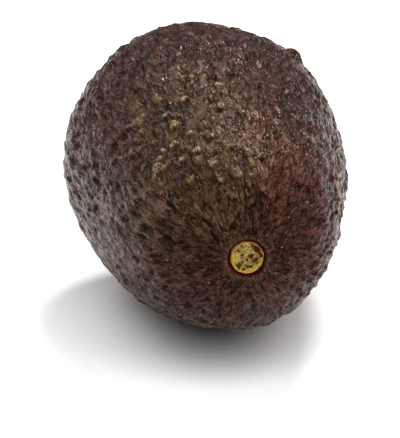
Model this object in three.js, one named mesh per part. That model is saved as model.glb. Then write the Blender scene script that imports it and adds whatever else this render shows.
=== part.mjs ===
// A whole dark avocado with pebbled skin, picked, with its stem broken off clean.
// It grew as one piece, so it is one closed solid. It lies on its side, on a small flat spot.
// Millimetres, +Z up. The stem end points along -Y and the blossom end along +Y.
// The origin is on the surface it lies on, under its weight.
import * as THREE from 'three';
import { ConvexHull } from 'three/addons/math/ConvexHull.js';

// The fruit's form: an oval of revolution, narrower towards the stem.
// Lengths along it are measured towards the stem from the middle of the oval.
const fruit = {
  halfLength: 49.5,
  girth: 41.4, // radius before the taper and fullness below: they bring it to 37 at the widest
  taper: 0.275, // share by which the stem half is slimmer
  fullness: 0.21, // blunter ends and flatter sides
  blossomReach: 7, // how much further the blossom end is rounded out
  blossomPower: 5,
};

// The underside is fuller ahead of the middle, so the fruit lies level.
const belly = { height: 3.6, ahead: 3, reach: 16 };

// Broad swells and hollows that keep the fruit from being a perfect oval, in degrees:
// fromStem is 0 at the stem and 180 at the blossom end, and turn is 0 below, 90 at +X, 180 on top.
const swells = [
  { fromStem: 95, turn: 89, height: 1.25 },
  { fromStem: 54, turn: 65, height: -0.5 },
  { fromStem: 48, turn: 15, height: 0.45 },
  { fromStem: 95, turn: -51, height: 0.15 },
  { fromStem: 121, turn: -80, height: -0.2 },
  { fromStem: 128, turn: -124, height: -0.8 },
  { fromStem: 128, turn: 164, height: -1.15 },
  { fromStem: 122, turn: 0, height: -0.6 },
];
const swellReach = 0.24; // radians

// Where the fruit's weight bears on the surface it lies on, from the middle of the oval.
const rest = { right: 0, back: 9.3, below: 36.35 };
const smoothAboveRest = 1.6; // the skin turns smooth over this height above the flat spot
const bluntAboveRest = 0.05; // pebbles have blunt tops from this height up

// Pebbled skin: low blunt humps, each with a valley all round. They are larger than life.
const pebbles = {
  count: 1130,
  height: 0.42,
  valley: -0.42,
  topShare: 0.44, // reach of the blunt top, as a share of the way to the valley
  unevenness: 0.3, // share by which the humps differ
  jitter: 0.2, // share of the spacing
  faintAtStem: 0.4, // share of the relief that is left beside the stem scar
  fullFrom: 0.95, // radians from the stem where the relief is full
};

// The stem scar, from its middle outwards: a plug in a groove, then a raised lip of skin.
const scarRings = [
  { radius: 2.1, height: -0.35, sides: 7 },
  { radius: 3.8, height: -0.15, sides: 18 },
  { radius: 4.5, height: -1.3, sides: 18 },
  { radius: 5.4, height: 0.4, sides: 18 },
  { radius: 7.0, height: 0.1, sides: 18 },
];
const scarMiddle = -0.45;
const scarClear = 9.2; // the pebbles begin here

// The blossom end: a small dimple with a point in it.
const blossomRings = [{ radius: 1.9, height: -0.6, sides: 8 }];
const blossomMiddle = 0.1;
const blossomClear = 4.2;

// One wart on the far right shoulder.
const wart = { fromStem: 123, turn: 137, height: 1.6, shoulder: 1.1, radius: 2.0, clear: 4.4 };

const slimness = (50 / 37) ** 2; // squared ratio of the ellipsoid's half length to its radius
const meanRadius = 42;
const skinArea = 4 * Math.PI * meanRadius ** 2;
const spacing = Math.sqrt(skinArea / pebbles.count) / meanRadius; // between pebbles, in radians
const goldenAngle = Math.PI * (3 - Math.sqrt(5));
const axisSteps = 400;
const degree = Math.PI / 180;

// A repeatable number from 0 to 1 for each index and use.
function draw(index, use) {
  const wave = Math.sin(index * 12.9898 + use * 78.233) * 43758.5453;
  return wave - Math.floor(wave);
}

// The unit vector at an angle from the stem and a turn about the axis.
function wayAt(fromStem, turn) {
  const across = Math.sin(fromStem);
  return new THREE.Vector3(
    across * Math.sin(turn),
    -Math.cos(fromStem),
    -across * Math.cos(turn),
  );
}

function wayTo(feature) {
  return wayAt(feature.fromStem * degree, feature.turn * degree);
}

function aheadOfMiddle(fromStem) {
  const towardsBlossom = (1 - Math.cos(fromStem)) / 2;
  const reach = fruit.blossomReach * towardsBlossom ** fruit.blossomPower;
  return fruit.halfLength * Math.cos(fromStem) - reach;
}

function ovalRadius(fromStem) {
  const shape = 1 - fruit.taper * Math.cos(fromStem) + fruit.fullness * Math.cos(2 * fromStem);
  return fruit.girth * Math.sin(fromStem) * shape;
}

function bell(distance, reach) {
  return Math.exp(-((distance / reach) ** 2));
}

// Outward from the skin, taken from the ellipsoid that the fruit is close to.
function outwardAt(point) {
  return new THREE.Vector3(point.x * slimness, point.y, point.z * slimness).normalize();
}

function swellHeight(way) {
  let height = 0;
  for (const swell of swells) {
    height += swell.height * bell(way.angleTo(wayTo(swell)), swellReach);
  }
  return height;
}

// The smooth skin's point for a unit vector, from the middle of the oval.
function skinAt(way) {
  const fromStem = Math.acos(THREE.MathUtils.clamp(-way.y, -1, 1));
  const turn = Math.atan2(way.x, -way.z);
  const ahead = aheadOfMiddle(fromStem);
  const underside = ((1 + Math.cos(turn)) / 2) ** 4;
  const bulge = belly.height * bell(ahead - belly.ahead, belly.reach) * underside;
  const radius = ovalRadius(fromStem) + bulge;
  const point = new THREE.Vector3(radius * Math.sin(turn), -ahead, -radius * Math.cos(turn));
  return point.addScaledVector(outwardAt(point), swellHeight(way));
}

// Relief fades out towards the flat spot, and the flat spot itself is level.
function raised(way, height) {
  const point = skinAt(way);
  const aboveRest = point.z + rest.below;
  const share = THREE.MathUtils.smoothstep(aboveRest, 0, smoothAboveRest);
  point.addScaledVector(outwardAt(point), height * share);
  point.z = Math.max(point.z, -rest.below);
  return point;
}

function pebbleShare(way) {
  const fromStem = Math.acos(-way.y);
  const rise = THREE.MathUtils.smoothstep(fromStem, 0, pebbles.fullFrom);
  return pebbles.faintAtStem + (1 - pebbles.faintAtStem) * rise;
}

// Angle from the stem at which a ring of the given radius lies.
function stemAngle(radius) {
  return Math.asin(radius / (fruit.girth * (1 - fruit.taper + fruit.fullness)));
}

function blossomAngle(radius) {
  return Math.PI - Math.asin(radius / (fruit.girth * (1 + fruit.taper + fruit.fullness)));
}

// Angles from the stem that give every pebble the same area of skin.
function evenAngles(count, first, last) {
  const areas = [0];
  for (let step = 1; step <= axisSteps; step += 1) {
    const before = first + ((last - first) * (step - 1)) / axisSteps;
    const after = first + ((last - first) * step) / axisSteps;
    const slant = Math.hypot(
      ovalRadius(after) - ovalRadius(before),
      aheadOfMiddle(after) - aheadOfMiddle(before),
    );
    areas.push(areas[step - 1] + slant * ovalRadius((before + after) / 2));
  }
  const angles = [];
  let step = 1;
  for (let index = 0; index < count; index += 1) {
    const wanted = (areas[axisSteps] * (index + 0.5)) / count;
    while (areas[step] < wanted) step += 1;
    const share = (wanted - areas[step - 1]) / (areas[step] - areas[step - 1]);
    angles.push(first + ((last - first) * (step - 1 + share)) / axisSteps);
  }
  return angles;
}

// Each spot on the skin: its direction, its height over the smooth skin, and whether it is a pebble.
function spot(way, height, pebble = false) {
  return { way, height, pebble, place: skinAt(way) };
}

function ringSpots(rings, angleOf) {
  const spots = [];
  rings.forEach((ring, number) => {
    for (let side = 0; side < ring.sides; side += 1) {
      const turn = ((side + 0.5 * (number % 2)) * 2 * Math.PI) / ring.sides;
      spots.push(spot(wayAt(angleOf(ring.radius), turn), ring.height));
    }
  });
  return spots;
}

// Unit vectors to evenly spaced points on a small circle around a spot.
function waysAround(middle, radius, count) {
  const step = radius / skinAt(middle).length();
  const sideways = new THREE.Vector3(0, 1, 0).cross(middle).normalize();
  return Array.from({ length: count }, (_, side) => {
    const turned = sideways.clone().applyAxisAngle(middle, (side * 2 * Math.PI) / count);
    return middle.clone().addScaledVector(turned, step).normalize();
  });
}

function wartSpots() {
  const middle = wayTo(wart);
  const shoulder = waysAround(middle, wart.radius, 6);
  return [spot(middle, wart.height), ...shoulder.map((way) => spot(way, wart.shoulder))];
}

function pebbleSpots(wartPlace) {
  const angles = evenAngles(pebbles.count, stemAngle(scarClear), blossomAngle(blossomClear));
  const slip = pebbles.jitter * spacing;
  const spots = [];
  angles.forEach((angle, index) => {
    const fromStem = angle + slip * (2 * draw(index, 1) - 1);
    const turn = index * goldenAngle + (slip * (2 * draw(index, 2) - 1)) / Math.sin(angle);
    const way = wayAt(fromStem, turn);
    const uneven = 1 + pebbles.unevenness * (2 * draw(index, 3) - 1);
    const height = pebbles.height * uneven * pebbleShare(way);
    const candidate = spot(way, height, true);
    if (candidate.place.distanceTo(wartPlace) > wart.clear) spots.push(candidate);
  });
  return spots;
}

// Triangles between the spots, from the hull of their directions.
function netOf(spots) {
  const onSphere = spots.map((each) => each.place.clone().normalize());
  const numberOf = new Map(onSphere.map((point, number) => [point, number]));
  const hull = new ConvexHull().setFromPoints(onSphere);
  return hull.faces.map((face) => {
    const first = face.edge;
    return [first, first.next, first.next.next].map((edge) => numberOf.get(edge.head().point));
  });
}

// Pebbles meet in a valley at the middle of each triangle of three. Where two such triangles
// share an edge, the valley runs across it, and elsewhere the triangle keeps its edge.
function skinTriangles(spots) {
  const net = netOf(spots);
  const corners = spots.map((each) => raised(each.way, each.height));
  const valleys = new Map();
  net.forEach((triangle) => {
    if (!triangle.every((number) => spots[number].pebble)) return;
    const middle = new THREE.Vector3();
    triangle.forEach((number) => middle.add(spots[number].way));
    const way = middle.normalize();
    corners.push(raised(way, pebbles.valley * pebbleShare(way)));
    valleys.set(triangle, corners.length - 1);
  });
  const owner = new Map();
  net.forEach((triangle) => {
    triangle.forEach((from, side) => owner.set(`${from},${triangle[(side + 1) % 3]}`, triangle));
  });
  const triangles = [];
  net.forEach((triangle) => {
    const valley = valleys.get(triangle);
    if (valley === undefined) {
      triangles.push(triangle);
      return;
    }
    triangle.forEach((from, side) => {
      const to = triangle[(side + 1) % 3];
      const across = valleys.get(owner.get(`${to},${from}`));
      if (across === undefined) triangles.push([from, to, valley]);
      else triangles.push([from, across, valley]);
    });
  });
  return { corners, triangles };
}

// For each pebble, the edges that face it across the triangles around its peak.
function rimsOf(spots, triangles) {
  const rims = new Map();
  triangles.forEach((triangle) => {
    triangle.forEach((number, side) => {
      if (!spots[number]?.pebble) return;
      if (!rims.has(number)) rims.set(number, new Map());
      rims.get(number).set(triangle[(side + 1) % 3], triangle[(side + 2) % 3]);
    });
  });
  return rims;
}

// The edges of a rim in order, counterclockwise seen from outside.
function edgesInOrder(rim) {
  const edges = [];
  let from = rim.keys().next().value;
  while (edges.length < rim.size) {
    edges.push([from, rim.get(from)]);
    from = rim.get(from);
  }
  return edges;
}

// A point of a blunt top: part of the way from the peak to some valley edges, level with the peak.
function topCorner(peak, edges, corners) {
  const step = new THREE.Vector3();
  edges.flat().forEach((number) => step.add(corners[number]).sub(peak));
  step.divideScalar(2 * edges.length);
  step.projectOnPlane(outwardAt(peak));
  const corner = peak.clone().addScaledVector(step, pebbles.topShare);
  corner.z = Math.max(corner.z, -rest.below);
  return corner;
}

// A pebble with valleys all round loses its peak and gets a small level triangle for a top.
function bluntTops(spots, corners, triangles) {
  const rims = rimsOf(spots, triangles);
  const blunt = new Set();
  rims.forEach((rim, number) => {
    const aboveRest = corners[number].z + rest.below;
    const alone = ![...rim.keys()].some((corner) => spots[corner]?.pebble);
    if (alone && aboveRest > bluntAboveRest) blunt.add(number);
  });
  const kept = triangles.filter((triangle) => !triangle.some((number) => blunt.has(number)));
  blunt.forEach((number) => {
    const edges = edgesInOrder(rims.get(number));
    const sideOf = (edge) => Math.floor((3 * edge) / edges.length) % 3;
    const tops = [0, 1, 2].map((side) => {
      const facing = edges.filter((_, edge) => sideOf(edge) === side);
      return corners.push(topCorner(corners[number], facing, corners)) - 1;
    });
    edges.forEach(([from, to], edge) => {
      const top = tops[sideOf(edge)];
      const nextTop = tops[sideOf(edge + 1)];
      kept.push([top, from, to]);
      if (nextTop !== top) kept.push([top, to, nextTop]);
    });
    kept.push(tops);
  });
  return kept;
}

// Corners that no triangle uses are left out.
function compact(corners, triangles) {
  const used = [...new Set(triangles.flat())];
  const numberOf = new Map(used.map((corner, number) => [corner, number]));
  return {
    numbers: used.flatMap((corner) => corners[corner].toArray()),
    index: triangles.flat().map((corner) => numberOf.get(corner)),
  };
}

function skinGeometry() {
  const warts = wartSpots();
  const spots = [
    spot(wayAt(0, 0), scarMiddle),
    ...ringSpots(scarRings, stemAngle),
    ...warts,
    ...pebbleSpots(warts[0].place),
    ...ringSpots(blossomRings, blossomAngle),
    spot(wayAt(Math.PI, 0), blossomMiddle),
  ];
  const { corners, triangles } = skinTriangles(spots);
  const { numbers, index } = compact(corners, bluntTops(spots, corners, triangles));
  const geometry = new THREE.BufferGeometry();
  geometry.setAttribute('position', new THREE.Float32BufferAttribute(numbers, 3));
  geometry.setIndex(index);
  geometry.computeVertexNormals();
  return geometry;
}

const darkSkin = new THREE.MeshStandardMaterial({ color: 0x3a2c28, roughness: 0.55, metalness: 0 });

const avocado = new THREE.Mesh(skinGeometry(), darkSkin);
avocado.name = 'avocado';
avocado.position.set(-rest.right, -rest.back, rest.below);

const group = new THREE.Group();
group.add(avocado);
export default group;
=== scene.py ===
import math

import bmesh
import bpy
import numpy as np
from mathutils import Matrix, Vector, noise


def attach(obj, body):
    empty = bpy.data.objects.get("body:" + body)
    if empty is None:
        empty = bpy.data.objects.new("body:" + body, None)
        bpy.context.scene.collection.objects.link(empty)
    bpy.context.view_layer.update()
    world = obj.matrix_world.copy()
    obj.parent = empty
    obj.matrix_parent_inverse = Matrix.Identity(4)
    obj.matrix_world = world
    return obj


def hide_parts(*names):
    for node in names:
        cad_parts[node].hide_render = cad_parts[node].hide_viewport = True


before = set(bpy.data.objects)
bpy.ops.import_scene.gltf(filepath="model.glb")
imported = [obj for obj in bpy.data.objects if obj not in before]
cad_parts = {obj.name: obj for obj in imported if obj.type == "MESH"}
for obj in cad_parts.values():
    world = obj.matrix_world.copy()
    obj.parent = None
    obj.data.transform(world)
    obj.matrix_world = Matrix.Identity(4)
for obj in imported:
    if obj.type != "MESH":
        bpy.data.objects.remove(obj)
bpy.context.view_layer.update()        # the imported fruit, which rides on one body

mm = 0.001
degree = math.pi / 180


def toLinear(hexColour):
    channels = [int(hexColour[i:i + 2], 16) / 255 for i in (1, 3, 5)]
    linear = [c / 12.92 if c <= 0.04045 else ((c + 0.055) / 1.055) ** 2.4 for c in channels]
    return (*linear, 1.0)


def addNode(tree, kind, *inputs, **settings):
    # inputs fill the sockets in order: a value, a socket, a node, or None to leave one as it is
    node = tree.nodes.new(kind)
    for name, value in settings.items():
        setattr(node, name, value)
    for socket, value in zip([each for each in node.inputs if each.enabled], inputs):
        if isinstance(value, bpy.types.Node):
            value = next(output for output in value.outputs if output.enabled)
        if isinstance(value, bpy.types.NodeSocket):
            tree.links.new(value, socket)
        elif value is not None:
            socket.default_value = value
    return node


def smoothRise(value, low, high):
    share = np.clip((value - low) / (high - low), 0, 1)
    return share * share * (3 - 2 * share)


# Form
# The fruit's form in millimetres, as the solid has it. Angles are in degrees:
# fromStem is 0 at the stem and 180 at the blossom end, turn is 0 below, 90 at +X, 180 on top.
fruitForm = {
    "halfLength": 49.5,
    "girth": 41.4,
    "taper": 0.275,  # share by which the stem half is slimmer
    "fullness": 0.21,  # blunter ends and flatter sides
    "blossomReach": 7.0,
    "blossomPower": 5,
    "bellyHeight": 3.6,
    "bellyAhead": 3.0,
    "bellyReach": 16.0,
    "bellyPower": 4,
    "slimness": (50 / 37) ** 2,
    "swells": [
        # fromStem, turn, height
        (95, 89, 1.25),
        (54, 65, -0.5),
        (48, 15, 0.45),
        (95, -51, 0.15),
        (121, -80, -0.2),
        (128, -124, -0.8),
        (128, 164, -1.15),
        (122, 0, -0.6),
    ],
    "swellReach": 0.24,  # radians
    "restBack": 9.3,  # from the middle of the oval to the middle of the flat spot
    "restBelow": 36.35,
    "smoothAboveRest": 1.6,
}


def wayTo(place):
    fromStem, turn = place[0] * degree, place[1] * degree
    across = math.sin(fromStem)
    return np.array([across * math.sin(turn), -math.cos(fromStem), -across * math.cos(turn)])


def outwardAt(points):
    outward = points * np.array([fruitForm["slimness"], 1, fruitForm["slimness"]])
    return outward / np.linalg.norm(outward, axis=1, keepdims=True)


def smoothSkin(ways):
    # points of the smooth fruit in millimetres, from the middle of the oval, for unit vectors
    form = fruitForm
    fromStem = np.arccos(np.clip(-ways[:, 1], -1, 1))
    turn = np.arctan2(ways[:, 0], -ways[:, 2])
    towardsBlossom = (1 - np.cos(fromStem)) / 2
    ahead = form["halfLength"] * np.cos(fromStem)
    ahead = ahead - form["blossomReach"] * towardsBlossom ** form["blossomPower"]
    radius = 1 - form["taper"] * np.cos(fromStem) + form["fullness"] * np.cos(2 * fromStem)
    radius = form["girth"] * np.sin(fromStem) * radius
    bulge = np.exp(-((ahead - form["bellyAhead"]) / form["bellyReach"]) ** 2)
    radius = radius + form["bellyHeight"] * bulge * ((1 + np.cos(turn)) / 2) ** form["bellyPower"]
    points = np.stack([radius * np.sin(turn), -ahead, -radius * np.cos(turn)], axis=1)
    outward = outwardAt(points)
    for swellFromStem, swellTurn, height in form["swells"]:
        apart = np.arccos(np.clip(ways @ wayTo((swellFromStem, swellTurn)), -1, 1))
        swell = height * np.exp(-(apart / form["swellReach"]) ** 2)
        points = points + outward * swell[:, None]
    return points


# The drift that keeps drawn shapes from looking ruled: two sets of slanting waves.
drift = {
    "waves": [(6.0, 0.6), (2.6, 0.4)],  # size in millimetres, share
    "slant": [1.0, 0.7, -0.8],
    "swirl": 1.3,
    "stepPhase": 2.3,  # radians, as the next two are
    "axisPhase": 1.7,
    "swirlPhase": 0.9,
}


def wander(points, amount):
    # a smooth drift of up to the given amount, in millimetres
    moved = np.zeros_like(points)
    slanted = points @ np.array(drift["slant"])
    for step, (size, share) in enumerate(drift["waves"]):
        for axis in range(3):
            phase = slanted / size + drift["axisPhase"] * axis + drift["stepPhase"] * step
            other = points[:, (axis + 1) % 3] / size + drift["swirlPhase"] * axis
            moved[:, axis] += share * np.sin(phase + drift["swirl"] * np.sin(other))
    return moved * amount


# The skin mesh and the shapes on it that have a place of their own, in millimetres.
skinShape = {
    "cuts": 127,  # across each of the six patches of the mesh
    "stemFocus": 0.6,  # how much closer the mesh is at the stem scar
    "stemFocusReach": 0.33,  # radians
    "scarProfile": [
        # distance from the scar's middle, height
        (0.0, -2.2),
        (3.4, -2.0),
        (3.9, -1.25),
        (4.15, -1.0),
        (4.4, -0.15),
        (4.8, 0.3),
        (5.3, 0.34),
        (6.4, 0.1),
        (8.5, 0.0),
    ],
    "scarUneven": 0.035,  # share by which the lip wanders in and out
    "scarWaves": [
        # waves in one round, phase, share
        (2, 0.6, 0.5),
        (5, 2.0, 0.4),
        (11, 0.3, 0.35),
        (23, 1.1, 0.25),
    ],
    "scarWider": 0.11,  # share by which the groove is wider at its lower right
    "scarWiderAt": 0.5,  # radians from straight below
    "scarWiderReach": 0.7,
    "grooveEdge": (4.4, 4.7),  # from the scar's middle, as the next three are
    "lipAt": 4.85,
    "wrinklesBegin": (5.0, 6.5),
    "pebblesBegin": (5.2, 8.0),
    "lipWidth": 0.25,
    "wrinklesFull": 6.0,  # they fade from here
    "wrinklesReach": 16.0,
    "pebblesGrow": (6.0, 27.0),  # from their faintest to their full height
    "faintest": 0.4,  # share of the pebbles' full height
    "grainGirth": 37.0,  # the grain runs lengthwise, and has its full size this far out
    "grainCore": 0.8,  # nearer the axis it gets no finer
    "grainStretch": 2.2,
    "wart": (123, 137),
    "wartHeight": 1.75,
    "wartRadius": 2.1,
    "wartBluntness": 2.6,
    "wartSmooth": 0.7,  # share of the pebbles' height that is missing on it
    "wartDrift": 0.3,
    "blossomDimple": 0.9,
    "blossomRadius": 2.6,
    "blossomPoint": 0.8,
    "blossomPointRadius": 0.9,
    "blossomBare": (1.0, 4.0),
    "creaseDrift": 0.55,
    "creaseEnds": 0.1,  # how shallow a crease is at its ends
    "patchDrift": 2.2,
    "farAway": 99,  # past every reach
}

# Long creases in the skin: the two ends, the depth and the half width.
creases = [
    ((24, 160), (15, -172), 0.42, 0.36),
    ((22, 167), (18, 178), 0.42, 0.4),
    ((23, 128), (13, 116), 0.35, 0.45),
    ((27, 140), (22, 130), 0.3, 0.4),
    ((17, -128), (11, -112), 0.32, 0.5),
    ((24, -133), (17, -132), 0.36, 0.5),
    ((33, -103), (27, -100), 0.34, 0.5),
    ((30, -112), (24, -118), 0.3, 0.45),
    ((40, -128), (35, -124), 0.32, 0.45),
    ((16, 70), (11, 78), 0.28, 0.4),
    ((31, 128), (28, 112), 0.3, 0.4),
    ((20, -20), (16, -10), 0.25, 0.4),
    ((66, 179), (42, 175), 0.35, 0.32),
    ((41, 176), (26, -179), 0.4, 0.32),
    ((35, 171), (17, 161), 0.4, 0.32),
    ((17, -172), (12, -140), 0.3, 0.4),
    ((60, 160), (44, 165), 0.3, 0.35),
    ((50, 150), (38, 158), 0.3, 0.35),
]

# Where the skin's colour changes: the place, how far it reaches in millimetres, and how strong.
tintPatches = {
    "olive": [
        ((61, -156), 15, 1.0),
        ((79, -153), 13, 0.7),
        ((38, -156), 12, 1.0),
        ((20, -140), 8, 0.8),
        ((42, -118), 11, 0.7),
        ((11, -120), 5, 0.8),
        ((9, -36), 3, 0.7),
        ((16, 32), 5, 0.6),
        ((110, 60), 22, 0.5),
        ((120, -60), 18, 0.4),
    ],
    "ruddy": [
        ((31, 138), 12, 1.0),
        ((51, 142), 13, 0.7),
        ((30, 105), 12, 0.8),
        ((62, 110), 14, 0.5),
        ((83, -125), 12, 0.5),
        ((140, 120), 20, 0.4),
    ],
    "shade": [
        ((24, 176), 6, 0.9),
        ((38, 176), 5, 0.8),
        ((16, 172), 6, 0.8),
        ((33, -130), 7, 0.6),
        ((62, -178), 4, 0.5),
        ((20, 120), 6, 0.5),
        ((25, -100), 7, 0.5),
        ((100, 100), 20, 0.4),
        ((135, 30), 20, 0.4),
    ],
    "specks": [
        ((75, 165), 20, 1.0),
        ((60, 130), 22, 1.0),
        ((40, 145), 15, 0.9),
        ((35, 110), 14, 0.6),
        ((20, 160), 10, 0.8),
        ((85, 175), 16, 0.6),
        ((130, -120), 25, 0.5),
        ((90, 20), 22, 0.4),
    ],
    "tips": [
        ((61, -155), 15, 1.0),
        ((76, -168), 11, 1.0),
        ((62, -170), 11, 1.0),
        ((42, -160), 11, 0.7),
        ((150, -90), 18, 0.5),
    ],
    "curled": [
        ((66, 179), 8, 0.9),
        ((54, 178), 8, 1.0),
        ((44, 174), 8, 0.9),
        ((78, -174), 9, 0.7),
        ((52, 150), 8, 0.5),
        ((47, -172), 8, 0.7),
        ((125, -20), 16, 0.5),
    ],
}


def sphereWays(mesh):
    # unit vectors of a rounded cube's corners, drawn together at the stem
    corners = np.array([corner.co for corner in mesh.verts])
    rounded = np.tan(corners * math.pi / 4)
    rounded /= np.linalg.norm(rounded, axis=1, keepdims=True)
    even = np.arccos(np.clip(-rounded[:, 1], -1, 1))
    focus = skinShape["stemFocus"] * np.exp(-(even / skinShape["stemFocusReach"]) ** 2)
    fromStem = even * (1 - focus)
    aside = rounded[:, [0, 2]]
    length = np.maximum(np.linalg.norm(aside, axis=1), 1e-9)
    aside = aside / length[:, None] * np.sin(fromStem)[:, None]
    return np.stack([aside[:, 0], -np.cos(fromStem), aside[:, 1]], axis=1)


def creaseDepth(points):
    # how deep each point lies in the creases, in millimetres, and how much of a crease it is, which
    # the rind darkens with painted shade
    drifting = points + wander(points, skinShape["creaseDrift"])
    depth = np.zeros(len(points))
    darkness = np.zeros(len(points))
    for start, end, deepest, halfWidth in creases:
        ends = smoothSkin(np.array([wayTo(start), wayTo(end)]))
        along = ends[1] - ends[0]
        share = np.clip((drifting - ends[0]) @ along / (along @ along), 0, 1)
        away = np.linalg.norm(drifting - ends[0] - share[:, None] * along, axis=1)
        taper = np.sqrt(np.clip(4 * share * (1 - share), skinShape["creaseEnds"], 1))
        crease = np.exp(-(away / (halfWidth * taper)) ** 2)
        depth = np.maximum(depth, deepest * taper * crease)
        darkness = np.maximum(darkness, crease)
    return depth, darkness


def patchShare(points, patches):
    share = np.zeros(len(points))
    drifting = points + wander(points, skinShape["patchDrift"])
    for place, reach, strength in patches:
        middle = smoothSkin(np.array([wayTo(place)]))[0]
        away = np.linalg.norm(drifting - middle, axis=1)
        share = np.maximum(share, strength * np.exp(-(away / reach) ** 2))
    return share


def skinMeasures(ways, points):
    # the height over the smooth fruit, and every share that the relief and the colours need
    shape = skinShape
    front = ways[:, 1] < -0.5
    back = ways[:, 1] > 0.5
    fromAxis = np.linalg.norm(points[:, [0, 2]], axis=1)
    around = np.arctan2(points[:, 0], -points[:, 2])
    uneven = sum(
        share * np.sin(waves * around + phase) for waves, phase, share in shape["scarWaves"])
    lowerRight = np.exp(-((around - shape["scarWiderAt"]) / shape["scarWiderReach"]) ** 2)
    uneven = 1 + shape["scarUneven"] * uneven - shape["scarWider"] * lowerRight
    scarAway = np.where(front, fromAxis * uneven, shape["farAway"])
    radii, heights = zip(*shape["scarProfile"])
    height = np.interp(scarAway, radii, heights)
    wartMiddle = smoothSkin(np.array([wayTo(shape["wart"])]))[0]
    drifting = points + wander(points, shape["wartDrift"])
    wartAway = np.linalg.norm(drifting - wartMiddle, axis=1)
    wartShare = np.exp(-(wartAway / shape["wartRadius"]) ** shape["wartBluntness"])
    blossomAway = np.where(back, fromAxis, shape["farAway"])
    height += shape["wartHeight"] * wartShare
    height -= shape["blossomDimple"] * np.exp(-(blossomAway / shape["blossomRadius"]) ** 2)
    height += shape["blossomPoint"] * np.exp(-(blossomAway / shape["blossomPointRadius"]) ** 2)
    depth, darkness = creaseDepth(points)
    height -= depth
    aboveRest = smoothRise(points[:, 2] + fruitForm["restBelow"], 0, fruitForm["smoothAboveRest"])
    pebbles = smoothRise(scarAway, *shape["pebblesGrow"])
    pebbles = shape["faintest"] + (1 - shape["faintest"]) * pebbles
    pebbles *= smoothRise(scarAway, *shape["pebblesBegin"])
    pebbles *= smoothRise(blossomAway, *shape["blossomBare"])
    pebbles *= 1 - shape["wartSmooth"] * wartShare
    pastFull = np.maximum(scarAway - shape["wrinklesFull"], 0)
    wrinkles = smoothRise(scarAway, *shape["wrinklesBegin"])
    wrinkles *= np.exp(-pastFull / shape["wrinklesReach"])
    measures = {
        "pebbleShare": pebbles * aboveRest,
        "wrinkleShare": wrinkles * aboveRest,
        "crease": darkness,
        "groove": 1 - smoothRise(scarAway, *shape["grooveEdge"]),
        "lip": np.exp(-((scarAway - shape["lipAt"]) / shape["lipWidth"]) ** 2),
    }
    for name, patches in tintPatches.items():
        measures[name] = patchShare(points, patches)
    return height * aboveRest, measures


def storeFloats(mesh, name, values):
    mesh.attributes.new(name, "FLOAT", "POINT").data.foreach_set("value", values.astype(np.float32))


def makeSkinMesh():
    rounded = bmesh.new()
    bmesh.ops.create_cube(rounded, size=2)
    bmesh.ops.subdivide_edges(
        rounded, edges=rounded.edges, cuts=skinShape["cuts"], use_grid_fill=True)
    ways = sphereWays(rounded)
    mesh = bpy.data.meshes.new("skin")
    rounded.to_mesh(mesh)
    rounded.free()
    points = smoothSkin(ways)
    outward = outwardAt(points)
    height, measures = skinMeasures(ways, points)
    placed = points + outward * height[:, None]
    placed += np.array([0, -fruitForm["restBack"], fruitForm["restBelow"]])
    placed[:, 2] = np.maximum(placed[:, 2], 0)
    mesh.vertices.foreach_set("co", (placed * mm).astype(np.float32).ravel())
    mesh.polygons.foreach_set("use_smooth", [True] * len(mesh.polygons))
    # lengthwise holds places squeezed so that a pattern on them runs from end to end
    aside = np.maximum(np.linalg.norm(points[:, [0, 2]], axis=1), skinShape["grainCore"])
    spread = np.sqrt(skinShape["grainGirth"] / aside)
    lengthwise = points * np.stack(
        [spread, np.full_like(aside, 1 / skinShape["grainStretch"]), spread], axis=1) * mm
    for name, vectors in (("outward", outward), ("lengthwise", lengthwise)):
        way = mesh.attributes.new(name, "FLOAT_VECTOR", "POINT")
        way.data.foreach_set("vector", vectors.astype(np.float32).ravel())
    for name, values in measures.items():
        storeFloats(mesh, name, values)
    mesh.update()
    return mesh


# Geometry Nodes
def newTree(name, sizes):
    tree = bpy.data.node_groups.new(name, "GeometryNodeTree")
    tree.interface.new_socket("Geometry", in_out="INPUT", socket_type="NodeSocketGeometry")
    for size in sizes:
        tree.interface.new_socket(size, in_out="INPUT", socket_type="NodeSocketFloat")
    tree.interface.new_socket("Geometry", in_out="OUTPUT", socket_type="NodeSocketGeometry")
    return tree, addNode(tree, "NodeGroupInput").outputs


def endTree(tree, geometry, finish):
    real = addNode(tree, "GeometryNodeRealizeInstances", geometry)
    painted = addNode(tree, "GeometryNodeSetMaterial", real, None, finish)
    addNode(tree, "NodeGroupOutput", painted)


def grow(piece, tree, sizes):
    # runs a tree on a piece and leaves the result as the piece's plain mesh
    modifier = piece.modifiers.new(tree.name, "NODES")
    modifier.node_group = tree
    for item in tree.interface.items_tree:
        if item.in_out == "INPUT" and item.name in sizes:
            modifier[item.identifier] = float(sizes[item.name])
    graph = bpy.context.evaluated_depsgraph_get()
    grown = bpy.data.meshes.new_from_object(
        piece.evaluated_get(graph), preserve_all_data_layers=True, depsgraph=graph)
    piece.modifiers.remove(modifier)
    piece.data = grown
    grown.name = piece.name


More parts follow.
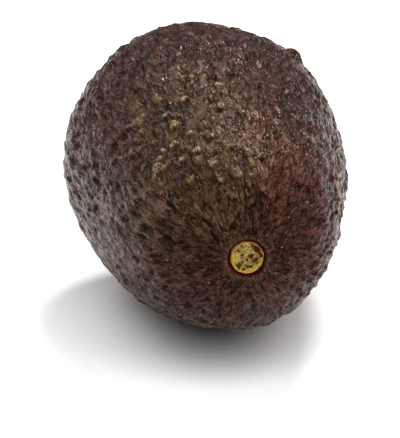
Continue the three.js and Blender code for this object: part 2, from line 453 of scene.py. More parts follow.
# The pebbled relief, in millimetres. A cell's measures run from its heart, in cells.
relief = {
    "sizes": {
        # the two shares add up to one
        "Pebble Spacing": 3.7,
        "Net Size": 2.9,
        "Grain Size": 1.7,
        "Fold Size": 6.5,
        "Form Share": 0.82,
        "Grain Share": 0.18,
        "Relief Height": 1.35,
        "Fold Height": 1.0,
        "Wrinkle Size": 2.6,
        "Wrinkle Height": 0.6,
    },
    "noises": [
        # the size it has, the space it lies in, detail
        ("Pebble Spacing", "place", 1.0),
        ("Net Size", "lengthwise", 0.5),
        ("Grain Size", "lengthwise", 0.0),
        ("Fold Size", "place", 0.0),
        ("Wrinkle Size", "lengthwise", 1.0),
    ],
    "noiseRoughness": 0.6,
    "firstSeed": 1.5,
    "pebbleWobble": 1.9,
    "netSway": 3.4,
    "pebbleCells": (0.06, 0.9),  # how far neighbours melt together, and how uneven they are
    "netCells": (0.12, 0.95),
    "dome": (0.1, 0.52),  # where a pebble starts to fall, and where it ends
    "footAt": 0.5,
    "footRing": (0.02, 0.14),
    "net": (0.12, 0.55),  # where a pit ends, and where a ridge is at its height
    "pitShade": 0.5,  # of the shade at a pebble's foot
    "grain": (0.28, 0.72),
    "domedTips": (0.1, 0.6),  # corky shares between which the domes take over
    "leastDomed": 0.35,
    "middle": 0.56,  # the height that lies on the smooth fruit
    "tipStrength": 0.15,
    "wrinkleWidth": 0.14,
}


def pebbleTree(finish):
    tree, given = newTree("pebbledSkin", relief["sizes"])
    place = addNode(tree, "GeometryNodeInputPosition")
    stored = {
        name: addNode(tree, "GeometryNodeInputNamedAttribute", name, data_type=kind)
        for name, kind in (
            ("pebbleShare", "FLOAT"), ("wrinkleShare", "FLOAT"), ("tips", "FLOAT"),
            ("lengthwise", "FLOAT_VECTOR"), ("outward", "FLOAT_VECTOR"))
    }
    spaces = {"place": place, "lengthwise": stored["lengthwise"]}
    scale, rough = {}, {}
    for seed, (name, space, detail) in enumerate(relief["noises"]):
        scale[name] = addNode(
            tree, "ShaderNodeMath", 1 / mm, given[name], operation="DIVIDE")
        rough[name] = addNode(
            tree, "ShaderNodeTexNoise", spaces[space], seed + relief["firstSeed"], scale[name],
            detail, relief["noiseRoughness"], noise_dimensions="4D")
    # cells of a wobbled Voronoi pattern make the pebbles, so that no two are alike
    wobble = addNode(
        tree, "ShaderNodeVectorMath", rough["Pebble Spacing"].outputs["Color"], (0.5, 0.5, 0.5),
        operation="SUBTRACT")
    wobble = addNode(
        tree, "ShaderNodeVectorMath", wobble, relief["pebbleWobble"] * mm, operation="SCALE")
    wobbled = addNode(tree, "ShaderNodeVectorMath", place, wobble, operation="ADD")
    cells = addNode(
        tree, "ShaderNodeTexVoronoi", wobbled, scale["Pebble Spacing"], None, None, None,
        *relief["pebbleCells"], feature="SMOOTH_F1")
    dome = addNode(
        tree, "ShaderNodeMapRange", cells, *relief["dome"], 1.0, 0.0,
        interpolation_type="SMOOTHSTEP")
    foot = addNode(tree, "ShaderNodeMath", cells, relief["footAt"], operation="SUBTRACT")
    foot = addNode(tree, "ShaderNodeMath", foot, operation="ABSOLUTE")
    foot = addNode(
        tree, "ShaderNodeMapRange", foot, *relief["footRing"], 1.0, 0.0,
        interpolation_type="SMOOTHSTEP")
    # ridges follow the borders of longer cells, which close up into a net
    sway = addNode(
        tree, "ShaderNodeVectorMath", rough["Net Size"].outputs["Color"], (0.5, 0.5, 0.5),
        operation="SUBTRACT")
    sway = addNode(
        tree, "ShaderNodeVectorMath", sway, relief["netSway"] * mm, operation="SCALE")
    swayed = addNode(tree, "ShaderNodeVectorMath", stored["lengthwise"], sway, operation="ADD")
    pits = addNode(
        tree, "ShaderNodeTexVoronoi", swayed, scale["Net Size"], None, None, None,
        *relief["netCells"], feature="SMOOTH_F1")
    net = addNode(
        tree, "ShaderNodeMapRange", pits, *relief["net"], 0.0, 1.0,
        interpolation_type="SMOOTHSTEP")
    pit = addNode(tree, "ShaderNodeMath", 1.0, net, operation="SUBTRACT")
    grain = addNode(tree, "ShaderNodeMapRange", rough["Grain Size"], *relief["grain"])
    # domes stand where the tips are corky, and the net covers the rest with lower ones in it
    domed = addNode(
        tree, "ShaderNodeMapRange", stored["tips"], *relief["domedTips"],
        relief["leastDomed"], 1.0)
    forms = addNode(tree, "ShaderNodeMix", domed, net, dome, data_type="FLOAT")
    # hollow marks the pebbles' feet and the net's pits for the rind's painted shade
    faintPit = addNode(tree, "ShaderNodeMath", pit, relief["pitShade"], operation="MULTIPLY")
    hollow = addNode(tree, "ShaderNodeMix", domed, faintPit, foot, data_type="FLOAT")
    height = addNode(tree, "ShaderNodeMath", grain, given["Grain Share"], operation="MULTIPLY")
    height = addNode(
        tree, "ShaderNodeMath", forms, given["Form Share"], height, operation="MULTIPLY_ADD")
    raised = addNode(tree, "ShaderNodeMath", height, relief["middle"], operation="SUBTRACT")
    raised = addNode(
        tree, "ShaderNodeMath", raised, given["Relief Height"], operation="MULTIPLY")
    # the relief is a little stronger where the tips are corky
    strength = addNode(
        tree, "ShaderNodeMath", stored["tips"], relief["tipStrength"], 1.0,
        operation="MULTIPLY_ADD")
    raised = addNode(tree, "ShaderNodeMath", raised, strength, operation="MULTIPLY")
    folded = addNode(tree, "ShaderNodeMath", rough["Fold Size"], 0.5, operation="SUBTRACT")
    raised = addNode(
        tree, "ShaderNodeMath", folded, given["Fold Height"], raised, operation="MULTIPLY_ADD")
    raised = addNode(
        tree, "ShaderNodeMath", raised, stored["pebbleShare"], operation="MULTIPLY")
    # fine wrinkles run out from the scar
    wrinkle = addNode(tree, "ShaderNodeMath", rough["Wrinkle Size"], 0.5, operation="SUBTRACT")
    wrinkle = addNode(tree, "ShaderNodeMath", wrinkle, operation="ABSOLUTE")
    wrinkle = addNode(
        tree, "ShaderNodeMapRange", wrinkle, 0.0, relief["wrinkleWidth"], -1.0, 0.0)
    wrinkle = addNode(
        tree, "ShaderNodeMath", wrinkle, given["Wrinkle Height"], operation="MULTIPLY")
    raised = addNode(
        tree, "ShaderNodeMath", wrinkle, stored["wrinkleShare"], raised, operation="MULTIPLY_ADD")
    raised = addNode(tree, "ShaderNodeMath", raised, mm, operation="MULTIPLY")
    offset = addNode(
        tree, "ShaderNodeVectorMath", stored["outward"], raised, operation="SCALE")
    # pebble is 0 at the lowest of the relief and 1 on a tip, cell holds the draws of each pebble,
    # and hollow is 1 all round the foot of a pebble and less in the net's pits: where the rind lays
    # painted shade
    kept = given[0]
    for name, value, kind in (
            ("pebble", height, "FLOAT"), ("cell", cells.outputs["Color"], "FLOAT_COLOR"),
            ("hollow", hollow, "FLOAT")):
        kept = addNode(
            tree, "GeometryNodeStoreNamedAttribute", kept, None, name, value,
            data_type=kind, domain="POINT")
    moved = addNode(tree, "GeometryNodeSetPosition", kept, None, None, offset)
    endTree(tree, moved, finish)
    return tree


# Finishes
seedStep = 3.7  # between the noises of one finish, so that no two are alike


def newFinish(name):
    finish = bpy.data.materials.new(name)
    finish.use_nodes = True
    tree = finish.node_tree
    return finish, tree, tree.nodes["Principled BSDF"]


def paint(tree, shader, look, ground, layers):
    # lays colours over a ground colour, each as strong as its place and its share make it
    colour = toLinear(look[ground])
    for name, where, strength in layers:
        amount = addNode(tree, "ShaderNodeMath", where, strength, operation="MULTIPLY")
        colour = addNode(
            tree, "ShaderNodeMix", amount, colour, toLinear(look[name]), data_type="RGBA")
    tree.links.new(colour.outputs[2], shader.inputs["Base Color"])


# Ripe avocado rind: waxy, leathery and nearly black, with olive patches and corky tips.
rindLook = {
    "dusk": "#341c17",
    "umber": "#44271f",
    "olive": "#5a4932",
    "ruddy": "#4f241c",
    # painted shade, near black: laid round the pebbles' feet, in the net's pits, the fine folds' low
    # places, the cracks, the creases and the shade patches
    "paintedShade": "#0d0504",
    # painted highlight, a light mauve grey: laid on the fine folds' tops and along the curled ridges
    "crest": "#83675b",
    "tip": "#b8a26c",
    "rosyTip": "#c0a592",
    "speck": "#8a5434",
    "groove": "#56140c",
    "lip": "#6d5a52",
    "noises": {
        # the space it lies in, size in millimetres, detail, roughness
        "mottle": ("object", 9.0, 3.0, 0.6),
        "flecks": ("lengthwise", 2.6, 3.0, 0.65),
        "curls": ("lengthwise", 1.5, 2.0, 0.55),
        "cracks": ("lengthwise", 2.3, 2.0, 0.6),
        "fine": ("lengthwise", 1.2, 1.0, 0.5),
        "etch": ("object", 0.95, 1.0, 0.5),
    },
    # lines follow the middle level of a noise, this far to each side of it
    "lineWidths": {"curls": 0.07, "cracks": 0.055, "etch": 0.075},
    # the levels of a noise, a height or a draw from which and to which a thing comes in
    "umberFrom": (0.4, 0.62),
    "curlsFrom": (0.4, 0.6),
    "cracksFrom": (0.62, 0.48),
    "raggedFrom": (0.4, 0.6),
    "speckFrom": (0.8, 0.92),
    "tipFrom": (0.45, 0.75),
    "ochreFrom": (0.58, 0.75),
    "rosyFrom": (0.62, 0.45),
    "foldShadeFrom": (-0.04, -0.2),
    "foldHighlightFrom": (0.05, 0.28),
    "creaseFrom": (-0.15, 0.3),
    "creaseRagged": 0.9,
    "curlRise": 0.18,  # of the fine folds' height, as the next one is
    "crackDepth": 0.25,
    "speckSpacing": 1.7,
    "speckSize": (0.2, 0.08),  # of the spacing: where it ends, and where it is solid
    "speckFavour": 0.75,  # how much likelier specks are in their patches
    "tipRagged": 0.4,
    "tipShare": 1.1,
    "tipEverywhere": 0.05,
    "tipUnetched": 0.35,
    # how strong each colour is at most
    "oliveShare": 0.9,
    "ruddyShare": 0.9,
    "shadeShare": 0.5,
    "footShadeShare": 0.75,
    "foldShadeShare": 0.6,
    "foldHighlightShare": 0.3,
    "oliveCalm": 0.75,
    "curlHighlightShare": 0.25,
    "etchShare": 0.34,
    "speckShare": 0.85,
    "crackShadeShare": 0.85,
    "glossFrom": (0.3, 0.8),  # heights with the roughest and the smoothest shine
    "roughest": 0.34,
    "smoothest": 0.22,
    "gloss": 0.33,
    "glossTint": "#d8a698",
    "refraction": 1.45,
    "foldHeight": 0.75,  # millimetres
}


def makeRind():
    # waxy rind: a satin shine, broken up by pebbles, pores and fine folds, with painted shade in the
    # folds, cracks and creases and round the pebbles' feet, and painted highlight on the folds' tops
    # and curled ridges
    finish, tree, shader = newFinish("avocadoRind")
    look = rindLook
    spaces = {
        "object": addNode(tree, "ShaderNodeTexCoord").outputs["Object"],
        "lengthwise": addNode(
            tree, "ShaderNodeAttribute", attribute_name="lengthwise").outputs["Vector"],
    }
    rough = {
        name: addNode(
            tree, "ShaderNodeTexNoise", spaces[space], seed * seedStep, 1 / (size * mm), detail,
            roughness, noise_dimensions="4D")
        for seed, (name, (space, size, detail, roughness)) in enumerate(look["noises"].items())
    }
    share = {
        name: addNode(tree, "ShaderNodeAttribute", attribute_name=name).outputs["Fac"]
        for name in (
            "pebble", "hollow", "wrinkleShare", "olive", "ruddy", "shade", "curled", "tips",
            "specks", "crease", "lip", "groove")
    }
    # thin curled ridges, cracks and etched lines follow the level lines of three noises; the cracks
    # get painted shade and the curled ridges a painted highlight
    line = {}
    for name, width in look["lineWidths"].items():
        level = addNode(tree, "ShaderNodeMath", rough[name], 0.5, operation="SUBTRACT")
        level = addNode(tree, "ShaderNodeMath", level, operation="ABSOLUTE")
        line[name] = addNode(
            tree, "ShaderNodeMapRange", level, 0.0, width, 1.0, 0.0,
            interpolation_type="SMOOTHSTEP")
    patchy = addNode(tree, "ShaderNodeMapRange", rough["flecks"], *look["curlsFrom"])
    curl = addNode(tree, "ShaderNodeMath", line["curls"], patchy, operation="MULTIPLY")
    bare = addNode(tree, "ShaderNodeMapRange", rough["flecks"], *look["cracksFrom"])
    bare = addNode(tree, "ShaderNodeMath", bare, share["wrinkleShare"], operation="MAXIMUM")
    crack = addNode(tree, "ShaderNodeMath", line["cracks"], bare, operation="MULTIPLY")
    # height is the relief of the mesh with the fine folds on it
    folds = addNode(tree, "ShaderNodeMath", rough["fine"], 0.5, operation="SUBTRACT")
    folds = addNode(
        tree, "ShaderNodeMath", curl, look["curlRise"], folds, operation="MULTIPLY_ADD")
    folds = addNode(
        tree, "ShaderNodeMath", crack, -look["crackDepth"], folds, operation="MULTIPLY_ADD")
    height = addNode(tree, "ShaderNodeMath", folds, share["pebble"], operation="ADD")
    # specks are the hearts of scattered cells, each there or not by the luck of its draw
    cells = addNode(
        tree, "ShaderNodeTexVoronoi", spaces["object"], 1 / (look["speckSpacing"] * mm), None,
        None, None, 1.0, feature="F1")
    speck = addNode(tree, "ShaderNodeMapRange", cells, *look["speckSize"])
    luck = addNode(tree, "ShaderNodeSeparateColor", cells.outputs["Color"])
    wanted = addNode(
        tree, "ShaderNodeMath", share["specks"], look["speckFavour"], luck.outputs[0],
        operation="MULTIPLY_ADD")
    wanted = addNode(tree, "ShaderNodeMapRange", wanted, *look["speckFrom"])
    speck = addNode(tree, "ShaderNodeMath", speck, wanted, operation="MULTIPLY")
    # tips of the pebbles turn corky, some ochre and some rosy
    chance = addNode(
        tree, "ShaderNodeSeparateColor",
        addNode(tree, "ShaderNodeAttribute", attribute_name="cell")).outputs[1]
    high = addNode(
        tree, "ShaderNodeMath", folds, look["tipRagged"], share["pebble"],
        operation="MULTIPLY_ADD")
    high = addNode(
        tree, "ShaderNodeMapRange", high, *look["tipFrom"], interpolation_type="SMOOTHSTEP")
    tip = addNode(
        tree, "ShaderNodeMath", share["tips"], look["tipShare"], look["tipEverywhere"],
        operation="MULTIPLY_ADD")
    tip = addNode(tree, "ShaderNodeMath", tip, high, operation="MULTIPLY")
    etched = addNode(
        tree, "ShaderNodeMapRange", line["etch"], 0.0, 1.0, look["tipUnetched"], 1.0)
    tip = addNode(tree, "ShaderNodeMath", tip, etched, operation="MULTIPLY")
    ochre = addNode(tree, "ShaderNodeMapRange", chance, *look["ochreFrom"])
    rosy = addNode(tree, "ShaderNodeMapRange", chance, *look["rosyFrom"])
    # fine folds get painted shade in their low places and a painted highlight on their tops, but
    # less so in the olive zone
    calm = addNode(
        tree, "ShaderNodeMath", share["olive"], -look["oliveCalm"], 1.0,
        operation="MULTIPLY_ADD")
    sunk = addNode(
        tree, "ShaderNodeMapRange", folds, *look["foldShadeFrom"], 0.0, look["foldShadeShare"])
    foldHighlight = addNode(
        tree, "ShaderNodeMapRange", folds, *look["foldHighlightFrom"], 0.0, look["foldHighlightShare"])
    mottle = addNode(tree, "ShaderNodeMapRange", rough["mottle"], *look["umberFrom"])
    curled = addNode(tree, "ShaderNodeMath", line["etch"], share["curled"], operation="MULTIPLY")
    crease = addNode(
        tree, "ShaderNodeMath", rough["fine"], look["creaseRagged"], operation="MULTIPLY")
    crease = addNode(tree, "ShaderNodeMath", share["crease"], crease, operation="SUBTRACT")
    crease = addNode(tree, "ShaderNodeMapRange", crease, *look["creaseFrom"])
    ragged = addNode(tree, "ShaderNodeMapRange", rough["fine"], *look["raggedFrom"])
    layers = [
        ("umber", mottle, 1.0),
        ("olive", share["olive"], look["oliveShare"]),
        ("ruddy", share["ruddy"], look["ruddyShare"]),
        # painted shade: the shade patches, round the pebbles' feet and in the net's pits, and in the
        # fine folds' low places
        ("paintedShade", share["shade"], look["shadeShare"]),
        ("paintedShade", share["hollow"], look["footShadeShare"]),
        ("paintedShade", sunk, calm),
        # painted highlight on the fine folds' tops and along the curled ridges
        ("crest", foldHighlight, calm),
        ("crest", curl, look["curlHighlightShare"]),
        ("rosyTip", curled, look["etchShare"]),
        ("tip", tip, ochre),
        ("rosyTip", tip, rosy),
        ("speck", speck, look["speckShare"]),
        # painted shade in the cracks and the creases
        ("paintedShade", crack, look["crackShadeShare"]),
        ("paintedShade", crease, 1.0),
        ("lip", share["lip"], ragged),
        ("groove", share["groove"], 1.0),
    ]
    paint(tree, shader, look, "dusk", layers)
    shine = addNode(
        tree, "ShaderNodeMapRange", height, *look["glossFrom"], look["roughest"],
        look["smoothest"])
    tree.links.new(shine.outputs[0], shader.inputs["Roughness"])
    shader.inputs["Specular IOR Level"].default_value = look["gloss"]
    shader.inputs["IOR"].default_value = look["refraction"]
    shader.inputs["Specular Tint"].default_value = toLinear(look["glossTint"])
    bump = addNode(tree, "ShaderNodeBump", 1.0, look["foldHeight"] * mm, None, folds)
    tree.links.new(bump.outputs[0], shader.inputs["Normal"])
    return finish


# Fresh cork: dry, pale yellow to green, with brown pits.
corkLook = {
    "pale": "#948a42",
    "cream": "#e3d7a4",
    "green": "#5e6126",
    "tan": "#84552a",
    "brown": "#3a1a0c",
    "mossy": "#343b10",
    "band": "#c4a440",
    "rim": "#b4783c",
    "noises": {
        # size in millimetres, detail, roughness
        "patches": (1.5, 3.0, 0.65),
        "stains": (0.9, 3.0, 0.7),
        "crumbs": (0.45, 3.0, 0.7),
    },
    # the levels of a noise or a pit from which and to which a colour comes in
    "greenFrom": (0.5, 0.62),
    "creamFrom": (0.47, 0.6),
    "tanFrom": (0.51, 0.59),
    "stainedFrom": (0.1, 0.4),
    "brownFrom": (0.25, 0.6),
    "pitRagged": 3.0,
    # how strong each colour is at most
    "greenShare": 0.9,
    "creamShare": 0.85,
    "tanShare": 0.8,
    "bandShare": 0.8,
    "brownShare": 0.95,
    "rimShare": 0.65,
    "dullness": 0.6,
    "gloss": 0.12,
    "crumbHeight": 0.3,  # millimetres
}


def makeCork():
    # fresh cork where the stem broke off: dull, with fine grain and stained pits
    finish, tree, shader = newFinish("stemScarCork")
    look = corkLook
    place = addNode(tree, "ShaderNodeTexCoord").outputs["Object"]
    rough = {
        name: addNode(
            tree, "ShaderNodeTexNoise", place, seed * seedStep, 1 / (size * mm), detail,
            roughness, noise_dimensions="4D")
        for seed, (name, (size, detail, roughness)) in enumerate(look["noises"].items())
    }
    share = {
        name: addNode(tree, "ShaderNodeAttribute", attribute_name=name).outputs["Fac"]
        for name in ("pit", "mossy", "band", "rim")
    }
    ragged = addNode(tree, "ShaderNodeMath", rough["crumbs"], 0.5, operation="SUBTRACT")
    ragged = addNode(
        tree, "ShaderNodeMath", ragged, look["pitRagged"], share["pit"],
        operation="MULTIPLY_ADD")
    pit = addNode(
        tree, "ShaderNodeMapRange", ragged, *look["brownFrom"], interpolation_type="SMOOTHSTEP")
    stained = addNode(
        tree, "ShaderNodeMapRange", ragged, *look["stainedFrom"],
        interpolation_type="SMOOTHSTEP")
    green = addNode(tree, "ShaderNodeMapRange", rough["patches"], *look["greenFrom"])
    cream = addNode(tree, "ShaderNodeMapRange", rough["crumbs"], *look["creamFrom"])
    tan = addNode(tree, "ShaderNodeMapRange", rough["stains"], *look["tanFrom"])
    layers = [
        ("green", green, look["greenShare"]),
        ("cream", cream, look["creamShare"]),
        ("tan", tan, look["tanShare"]),
        ("tan", stained, look["tanShare"]),
        ("band", share["band"], look["bandShare"]),
        ("brown", pit, look["brownShare"]),
        ("mossy", pit, share["mossy"]),
        ("rim", share["rim"], look["rimShare"]),
    ]
    paint(tree, shader, look, "pale", layers)
    shader.inputs["Roughness"].default_value = look["dullness"]
    shader.inputs["Specular IOR Level"].default_value = look["gloss"]
    bump = addNode(
        tree, "ShaderNodeBump", 1.0, look["crumbHeight"] * mm, None, rough["crumbs"])
    tree.links.new(bump.outputs[0], shader.inputs["Normal"])
    return finish


# Dry cork of the lenticels: dull, orange-brown to ochre.
speckLook = {
    "finish": "lenticelCork",
    "shades": ("#6b3a20", "#7d6136"),
    "patch": 5.0,  # millimetres
    "mixFrom": (0.35, 0.65),
    "dullness": 0.6,
    "gloss": 0.5,
}

# Matte white paper that the fruit lies on: an even, soft ground.
paperLook = {
    "finish": "whitePaper",
    "shades": ("#f8f8f8", "#fbfbfb"),
    "patch": 0.8,  # millimetres
    "mixFrom": (0.3, 0.7),
    "dullness": 0.9,
    "gloss": 0.0,
    "reach": 3.0,  # metres, from the middle to each side
}


def makeTwoShades(look):
    # a plain finish whose two shades run into each other by a noise
    finish, tree, shader = newFinish(look["finish"])
    place = addNode(tree, "ShaderNodeTexCoord").outputs["Object"]
    patches = addNode(
        tree, "ShaderNodeTexNoise", place, 0.0, 1 / (look["patch"] * mm), 2.0, 0.6,
        noise_dimensions="4D")
    mixed = addNode(tree, "ShaderNodeMapRange", patches, *look["mixFrom"])
    colour = addNode(
        tree, "ShaderNodeMix", mixed, *[toLinear(shade) for shade in look["shades"]],
        data_type="RGBA")
    tree.links.new(colour.outputs[2], shader.inputs["Base Color"])
    shader.inputs["Roughness"].default_value = look["dullness"]
    shader.inputs["Specular IOR Level"].default_value = look["gloss"]
    return finish


# Pieces
def addPiece(name, mesh, finish):
    piece = bpy.data.objects.new(name, mesh)
    bpy.context.collection.objects.link(piece)
    if finish.name not in mesh.materials:
        mesh.materials.append(finish)
    return piece


def makeSkin(finish):
    skin = addPiece("pebbledSkin", makeSkinMesh(), finish)
    grow(skin, pebbleTree(finish), relief["sizes"])
    return skin


# The scar that the stem leaves: a corky plug with pits in it.
scarPlug = {
    "radius": 3.95,
    "rings": 60,
    "sides": 144,
    "height": -0.3,  # over the skin's own end
    "dome": 0.12,
    "outlineWaves": [(3, 1.0, 0.012), (8, 0.0, 0.01)],  # waves in one round, phase, share
    "rimHeight": 0.26,
    "rimWidth": 0.12,
    "rimInset": 0.25,  # from the edge of the plug, as the next two are
    "rimColour": (0.3, 0.12),
    "edgeWidth": 0.22,
    "edgeDrop": 0.5,
    "bandRadius": 3.4,  # a yellower band inside the rim, at its lower left
    "bandWidth": 0.32,
    "bandShare": (0.55, 0.5),  # at the middle, and how fast it grows to the lower left
    "roughness": 0.24,
    "roughPerMm": 1.6,
    "roughSteps": (0.6, 2.0, 4),  # how fast finer bumps fade, how much finer, how many
    "ragged": [(0.9, 0.42), (2.4, 0.22)],  # waves in a millimetre, reach in millimetres
    "seed": 4,
    "pitSpread": 1.0,
    "depth": 2.4,
    "pits": [
        # right, up, radius, depth, how green
        (2.0, 2.25, 0.95, 0.75, 0.0),
        (1.25, 3.05, 0.42, 0.4, 0.0),
        (2.75, 1.6, 0.45, 0.5, 0.0),
        (3.02, 0.85, 0.42, 0.5, 0.0),
        (3.1, 0.2, 0.4, 0.5, 0.0),
        (2.1, -0.7, 0.72, 0.4, 0.7),
        (1.05, 0.45, 0.48, 0.4, 0.0),
        (0.1, -0.5, 0.35, 0.25, 0.6),
        (-1.0, 0.8, 0.3, 0.3, 0.0),
        (-1.35, 0.4, 0.28, 0.25, 0.0),
        (-2.1, 1.85, 0.38, 0.35, 0.6),
        (-2.85, 1.5, 0.3, 0.25, 0.0),
        (-2.0, -1.65, 0.55, 0.6, 1.0),
        (-1.95, -2.2, 0.4, 0.45, 1.0),
        (-1.2, -1.05, 0.3, 0.3, 0.0),
        (-0.9, -2.65, 0.38, 0.3, 0.4),
        (0.1, -2.0, 0.4, 0.45, 0.0),
        (0.95, -2.1, 0.44, 0.45, 0.0),
        (-1.3, 3.1, 0.28, 0.25, 0.2),
        (0.8, 3.45, 0.3, 0.3, 0.0),
    ],
    "ridge": [(0.95, 2.3), (1.3, 1.45), (2.2, 1.0)],
    "ridgeHeight": 0.28,
    "ridgeWidth": 0.28,
    "ridgeFoot": 0.1,
}


def raggedAt(spots):
    # a seeded drift that makes drawn shapes ragged
    return sum(
        np.array([noise.noise_vector(Vector(spot) * waves) for spot in spots]) * reach
        for waves, reach in scarPlug["ragged"])


def plugHeights(right, up):
    # height of the cork over its own level, with the shares that colour it
    plug = scarPlug
    away = np.hypot(right, up)
    height = plug["dome"] * (1 - (away / plug["radius"]) ** 2)
    spots = np.stack([right, up, np.zeros_like(right)], axis=1)
    height += plug["roughness"] * np.array([
        noise.fractal(Vector(spot) * plug["roughPerMm"], *plug["roughSteps"]) for spot in spots])
    drifting = spots + raggedAt(spots)
    pit = np.zeros(len(right))
    mossy = np.zeros(len(right))
    for pitRight, pitUp, radius, depth, green in plug["pits"]:
        gap = np.hypot(drifting[:, 0] - pitRight, drifting[:, 1] - pitUp)
        hollow = np.exp(-(gap / (plug["pitSpread"] * radius)) ** 2)
        height -= depth * hollow
        mossy = np.where(hollow > pit, green, mossy)
        pit = np.maximum(pit, hollow)
    for (right0, up0), (right1, up1) in zip(plug["ridge"], plug["ridge"][1:]):
        along = np.array([right1 - right0, up1 - up0])
        offset = np.stack([drifting[:, 0] - right0, drifting[:, 1] - up0], axis=1)
        share = np.clip(offset @ along / (along @ along), 0, 1)
        gap = np.linalg.norm(offset - share[:, None] * along, axis=1)
        crest = np.exp(-(gap / plug["ridgeWidth"]) ** 2)
        height = np.maximum(height, plug["ridgeHeight"] * crest - plug["ridgeFoot"])
        pit = pit * (1 - crest)
    inward = plug["radius"] - away
    rim = np.exp(-((inward - plug["rimInset"]) / plug["rimWidth"]) ** 2)
    height += plug["rimHeight"] * rim
    height -= plug["edgeDrop"] * np.clip(1 - inward / plug["edgeWidth"], 0, 1) ** 2
    rim = smoothRise(inward, *plug["rimColour"])
    band = np.exp(-((away - plug["bandRadius"]) / plug["bandWidth"]) ** 2)
    middleShare, growth = plug["bandShare"]
    band *= np.clip(middleShare - growth * (right + up) / plug["radius"], 0, 1)
    return height, {"pit": pit * (1 - rim), "mossy": mossy, "band": band, "rim": rim}


def makeScar(finish):
    # a disc of rings of points, closed underneath by a cone from its outer ring to one point deeper
    # in the fruit
    plug = scarPlug
    stemEnd = -(fruitForm["halfLength"] + fruitForm["restBack"])
    turns = np.arange(plug["sides"]) * 2 * math.pi / plug["sides"]
    outline = plug["radius"] * (1 + sum(
        share * np.sin(waves * turns + phase) for waves, phase, share in plug["outlineWaves"]))
    right, up = [0.0], [0.0]
    for ring in range(1, plug["rings"] + 1):
        reach = outline * ring / plug["rings"]
        right.extend(reach * np.cos(turns))
        up.extend(reach * np.sin(turns))
    right, up = np.array(right), np.array(up)
    noise.seed_set(plug["seed"])
    height, measures = plugHeights(right, up)
    front = np.stack([
        right, stemEnd - plug["height"] - height, fruitForm["restBelow"] + up], axis=1)
    base = front[-plug["sides"]:].copy()
    base[:, 1] = stemEnd + plug["depth"]
    baseMiddle = np.array([[0, stemEnd + plug["depth"], fruitForm["restBelow"]]])
    points = np.concatenate([front, base, baseMiddle])
    rows = plug["rings"] + 1
    last = len(points) - 1
    faces = []
    for side in range(plug["sides"]):
        nextSide = (side + 1) % plug["sides"]
        faces.append((0, 1 + side, 1 + nextSide))
        for row in range(rows - 1):
            inner, outer = 1 + row * plug["sides"], 1 + (row + 1) * plug["sides"]
            faces.append((inner + side, outer + side, outer + nextSide, inner + nextSide))
        outer = 1 + (rows - 1) * plug["sides"]
        faces.append((outer + side, last, outer + nextSide))
    mesh = bpy.data.meshes.new("stemScar")
    mesh.from_pydata((points * mm).tolist(), [], faces)
    mesh.polygons.foreach_set("use_smooth", [True] * len(mesh.polygons))
    padding = len(points) - len(right)
    for name, values in measures.items():
        storeFloats(mesh, name, np.concatenate([values, np.zeros(padding)]))
    mesh.update()
    return addPiece("stemScar", mesh, finish)


# Corky specks on the skin, in millimetres.
lenticel = {
    "count": 1100,
    "seed": 7,
    "radius": 0.36,
    "flatness": 0.3,
    "smallest": 0.4,
    "segments": 8,
    "rings": 4,
}


def lenticelTree(finish):
    # scatters flat corky domes, sunk to their middles in the skin
    tree, given = newTree("lenticels", ["Per Square Metre", "Radius", "Flatness", "Smallest"])
    share = addNode(tree, "GeometryNodeInputNamedAttribute", "pebbleShare", data_type="FLOAT")
    density = addNode(
        tree, "ShaderNodeMath", share, given["Per Square Metre"], operation="MULTIPLY")
    spots = addNode(
        tree, "GeometryNodeDistributePointsOnFaces", given[0], None, density, lenticel["seed"],
        distribute_method="RANDOM")
    dome = addNode(
        tree, "GeometryNodeMeshUVSphere", lenticel["segments"], lenticel["rings"], given["Radius"])
    size = addNode(
        tree, "FunctionNodeRandomValue", given["Smallest"], 1.0, None, lenticel["seed"],
        data_type="FLOAT")
    shape = addNode(tree, "ShaderNodeCombineXYZ", 1.0, 1.0, given["Flatness"])
    scale = addNode(tree, "ShaderNodeVectorMath", shape, size, operation="SCALE")
    placed = addNode(
        tree, "GeometryNodeInstanceOnPoints", spots, None, dome, None, None,
        spots.outputs["Rotation"], scale)
    endTree(tree, addNode(tree, "GeometryNodeSetShadeSmooth", placed), finish)
    return tree


def makeLenticels(skin, finish):
    specks = addPiece("lenticels", skin.data.copy(), finish)
    area = sum(polygon.area for polygon in skin.data.polygons)
    sizes = {
        "Per Square Metre": lenticel["count"] / area,
        "Radius": lenticel["radius"] * mm,
        "Flatness": lenticel["flatness"],
        "Smallest": lenticel["smallest"],
    }
    grow(specks, lenticelTree(finish), sizes)
    return specks


# Studio
studio = {
    "yaw": 8.4,  # the camera's turn from straight ahead of the stem, in degrees
    "elevation": 18.8,
    "distance": 0.5,
    "pixelsPerMetre": 3910,  # in the image, at the middle of the oval
    "imageHeight": 438,
    "imageWidth": 400,
    "middleAt": (216.2, 190.4),  # pixels from the image's top left corner
    "sensor": 36,
    "nearest": 0.01,  # metres: nothing closer than this is drawn
    "worldStrength": 0.3,
    "printGamma": 0.8,  # below 1 it deepens the darks, as a product photo's print does
    "softboxes": [
        # round from the front to the right, height, spread, all in degrees, and strength
        ("key", 150, 57, 17, 2.0),
        ("front", 0, 52, 56, 1.9),
        ("back", -150, 42, 30, 0.55),
        ("left", -80, 42, 60, 0.65),
        ("right", 65, 42, 60, 1.1),
    ],
}


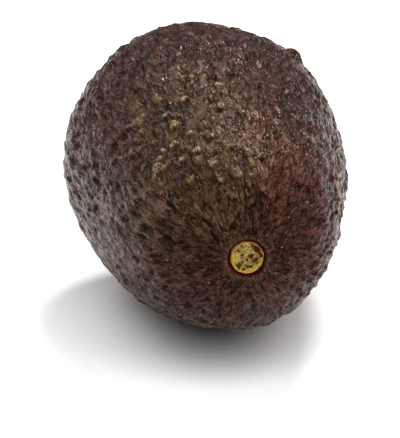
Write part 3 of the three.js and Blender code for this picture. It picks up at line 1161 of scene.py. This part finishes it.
def makeCamera():
    yaw, elevation = studio["yaw"] * degree, studio["elevation"] * degree
    right = Vector((math.cos(yaw), -math.sin(yaw), 0))
    level = Vector((-math.sin(yaw), -math.cos(yaw), 0))
    back = level * math.cos(elevation) + Vector((0, 0, math.sin(elevation)))
    up = back.cross(right)
    middle = Vector((0, -fruitForm["restBack"] * mm, fruitForm["restBelow"] * mm))
    place = middle + back * studio["distance"]
    lens = bpy.data.cameras.new("camera")
    lens.sensor_width = studio["sensor"]
    pixelsPerRadian = studio["pixelsPerMetre"] * studio["distance"]
    lens.lens = studio["sensor"] * pixelsPerRadian / studio["imageHeight"]
    lens.shift_x = (studio["imageWidth"] / 2 - studio["middleAt"][0]) / studio["imageHeight"]
    lens.shift_y = (studio["middleAt"][1] - studio["imageHeight"] / 2) / studio["imageHeight"]
    lens.clip_start = studio["nearest"]
    camera = bpy.data.objects.new("camera", lens)
    camera.matrix_world = Matrix.Translation(place) @ Matrix((right, up, back)).transposed().to_4x4()
    bpy.context.collection.objects.link(camera)
    bpy.context.scene.camera = camera


def makeLight():
    for name, around, elevation, spread, strength in studio["softboxes"]:
        lamp = bpy.data.lights.new(name + "Softbox", "SUN")
        lamp.angle = spread * degree
        lamp.energy = strength
        holder = bpy.data.objects.new(lamp.name, lamp)
        level = math.cos(elevation * degree)
        way = Vector((
            level * math.sin(around * degree), -level * math.cos(around * degree),
            math.sin(elevation * degree)))
        holder.rotation_euler = way.to_track_quat("Z", "Y").to_euler()
        bpy.context.collection.objects.link(holder)
    world = bpy.data.worlds.new("whiteRoom")
    world.use_nodes = True
    background = world.node_tree.nodes["Background"]
    background.inputs["Color"].default_value = toLinear("#ffffff")
    background.inputs["Strength"].default_value = studio["worldStrength"]
    bpy.context.scene.world = world
    view = bpy.context.scene.view_settings
    view.view_transform = "Standard"
    view.gamma = studio["printGamma"]


def makeFloor():
    mesh = bpy.data.meshes.new("floor")
    reach = paperLook["reach"]
    corners = [(-reach, -reach, 0), (reach, -reach, 0), (reach, reach, 0), (-reach, reach, 0)]
    mesh.from_pydata(corners, [], [(0, 1, 2, 3)])
    floor = addPiece("floor", mesh, makeTwoShades(paperLook))


makeCamera()
makeLight()
makeFloor()
print("camera, light and floor ready")

skin = makeSkin(makeRind())
print("pebbled skin grown:", len(skin.data.polygons), "faces")
scar = makeScar(makeCork())
print("stem scar made:", len(scar.data.polygons), "faces")
specks = makeLenticels(skin, makeTwoShades(speckLook))
print("lenticels scattered:", len(specks.data.polygons), "faces")

for piece, slotName in ((skin, "skin"), (scar, "stem_scar"), (specks, "skin")):
    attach(piece, "root")
    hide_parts("avocado")
